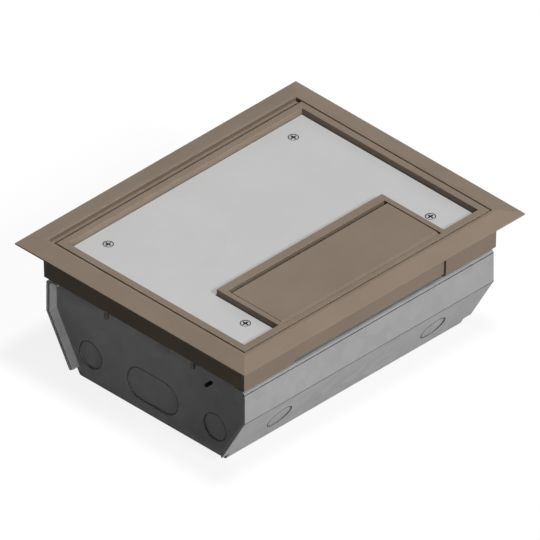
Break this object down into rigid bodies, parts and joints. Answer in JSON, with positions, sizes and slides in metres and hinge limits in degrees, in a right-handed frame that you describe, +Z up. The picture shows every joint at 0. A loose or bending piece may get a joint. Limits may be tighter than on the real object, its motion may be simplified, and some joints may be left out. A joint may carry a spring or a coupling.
{
  "type": "floor socket box",
  "caption": "Raised-floor socket box: bevelled trim frame and hinged lid with steel infill and cable flap over a folded steel box with knock-outs, switched socket and data outlets.",
  "frame": {"origin": "middle of the steel base's underside, below the middle of the trim frame", "axes": "+X along the long side, +Y towards the lid's hinge, +Z up out of the floor"},
  "size_m": [0.3, 0.245, 0.1151],
  "materials": {
    "brown_plastic": "fine moulded grain, satin",
    "steel_infill": "plain zinc-coated",
    "galvanised_steel": "pre-galvanised sheet",
    "zinc_screws": "zinc plated",
    "pin_steel": "bright drawn",
    "brass_fittings": "plain",
    "white_plastic": "gloss",
    "black_plastic": "satin",
    "foam": "open-cell foam"
  },
  "bodies": {
    "box": {"trim_frame": "brown_plastic", "box_trough": "galvanised_steel", "end_plate_left": "galvanised_steel", "end_plate_right": "galvanised_steel", "frame_screws": "zinc_screws", "divider_left": "galvanised_steel", "divider_right": "galvanised_steel", "plate_rail_near": "galvanised_steel", "plate_rail_far": "galvanised_steel", "socket_plate": "galvanised_steel", "socket_front": "white_plastic", "socket_back": "white_plastic", "socket_screws": "zinc_screws", "blank_plate": "galvanised_steel", "data_plate": "galvanised_steel", "accessory_screws": "zinc_screws", "earth_stud": "brass_fittings", "earth_nuts": "brass_fittings", "data_jack_1": "black_plastic", "data_jack_2": "black_plastic", "data_jack_3": "black_plastic", "data_jack_4": "black_plastic"},
    "lid": {"lid_frame": "brown_plastic", "lid_plate": "steel_infill", "lid_plate_screws": "zinc_screws", "lid_hinge_pins": "pin_steel"},
    "flap": {"cable_flap": "brown_plastic", "flap_hinge_pins": "pin_steel", "flap_foam": "foam"},
    "clamp_screw_near_left": {"clamp_screw_near_left": "zinc_screws"},
    "clamp_claw_near_left": {"clamp_claw_near_left": "zinc_screws"},
    "clamp_screw_far_left": {"clamp_screw_far_left": "zinc_screws"},
    "clamp_claw_far_left": {"clamp_claw_far_left": "zinc_screws"},
    "clamp_screw_near_right": {"clamp_screw_near_right": "zinc_screws"},
    "clamp_claw_near_right": {"clamp_claw_near_right": "zinc_screws"},
    "clamp_screw_far_right": {"clamp_screw_far_right": "zinc_screws"},
    "clamp_claw_far_right": {"clamp_claw_far_right": "zinc_screws"},
    "rocker_left": {"rocker_left": "white_plastic"},
    "rocker_right": {"rocker_right": "white_plastic"},
    "shutter_near": {"shutter_near": "black_plastic"},
    "shutter_far": {"shutter_far": "black_plastic"}
  },
  "joints": [
    {"name": "lid_hinge", "type": "hinge", "parent": "box", "child": "lid", "pos_m": [0, 0.0941, 0.1086], "axis": [-1, 0, 0], "range_deg": [0, 110]},
    {"name": "flap_hinge", "type": "hinge", "parent": "lid", "child": "flap", "pos_m": [0, -0.0445, 0.1116], "axis": [-1, 0, 0], "range_deg": [0, 118]},
    {"name": "clamp_near_left_swing", "type": "hinge", "parent": "box", "child": "clamp_screw_near_left", "pos_m": [-0.12862, -0.0461, 0.0791], "axis": [0, 0, 1], "range_deg": [0, 90]},
    {"name": "clamp_near_left_drop", "type": "slide", "parent": "clamp_screw_near_left", "child": "clamp_claw_near_left", "axis": [0, 0, -1], "range_m": [0, 0.008]},
    {"name": "clamp_far_left_swing", "type": "hinge", "parent": "box", "child": "clamp_screw_far_left", "pos_m": [-0.12862, 0.0461, 0.0791], "axis": [0, 0, -1], "range_deg": [0, 90]},
    {"name": "clamp_far_left_drop", "type": "slide", "parent": "clamp_screw_far_left", "child": "clamp_claw_far_left", "axis": [0, 0, -1], "range_m": [0, 0.008]},
    {"name": "clamp_near_right_swing", "type": "hinge", "parent": "box", "child": "clamp_screw_near_right", "pos_m": [0.12862, -0.0461, 0.0791], "axis": [0, 0, -1], "range_deg": [0, 90]},
    {"name": "clamp_near_right_drop", "type": "slide", "parent": "clamp_screw_near_right", "child": "clamp_claw_near_right", "axis": [0, 0, -1], "range_m": [0, 0.008]},
    {"name": "clamp_far_right_swing", "type": "hinge", "parent": "box", "child": "clamp_screw_far_right", "pos_m": [0.12862, 0.0461, 0.0791], "axis": [0, 0, 1], "range_deg": [0, 90]},
    {"name": "clamp_far_right_drop", "type": "slide", "parent": "clamp_screw_far_right", "child": "clamp_claw_far_right", "axis": [0, 0, -1], "range_m": [0, 0.008]},
    {"name": "rocker_left_tilt", "type": "hinge", "parent": "box", "child": "rocker_left", "pos_m": [-0.0954, 0, 0.0545], "axis": [-1, 0, 0], "range_deg": [0, 12]},
    {"name": "rocker_right_tilt", "type": "hinge", "parent": "box", "child": "rocker_right", "pos_m": [-0.0694, 0, 0.0545], "axis": [-1, 0, 0], "range_deg": [0, 12]},
    {"name": "shutter_near_slide", "type": "slide", "parent": "box", "child": "shutter_near", "axis": [0, -1, 0], "range_m": [0, 0.0065], "stiffness_N_per_m": 20, "springref_m": -0.002},
    {"name": "shutter_far_slide", "type": "slide", "parent": "box", "child": "shutter_far", "axis": [0, -1, 0], "range_m": [0, 0.0065], "stiffness_N_per_m": 20, "springref_m": -0.002}
  ]
}
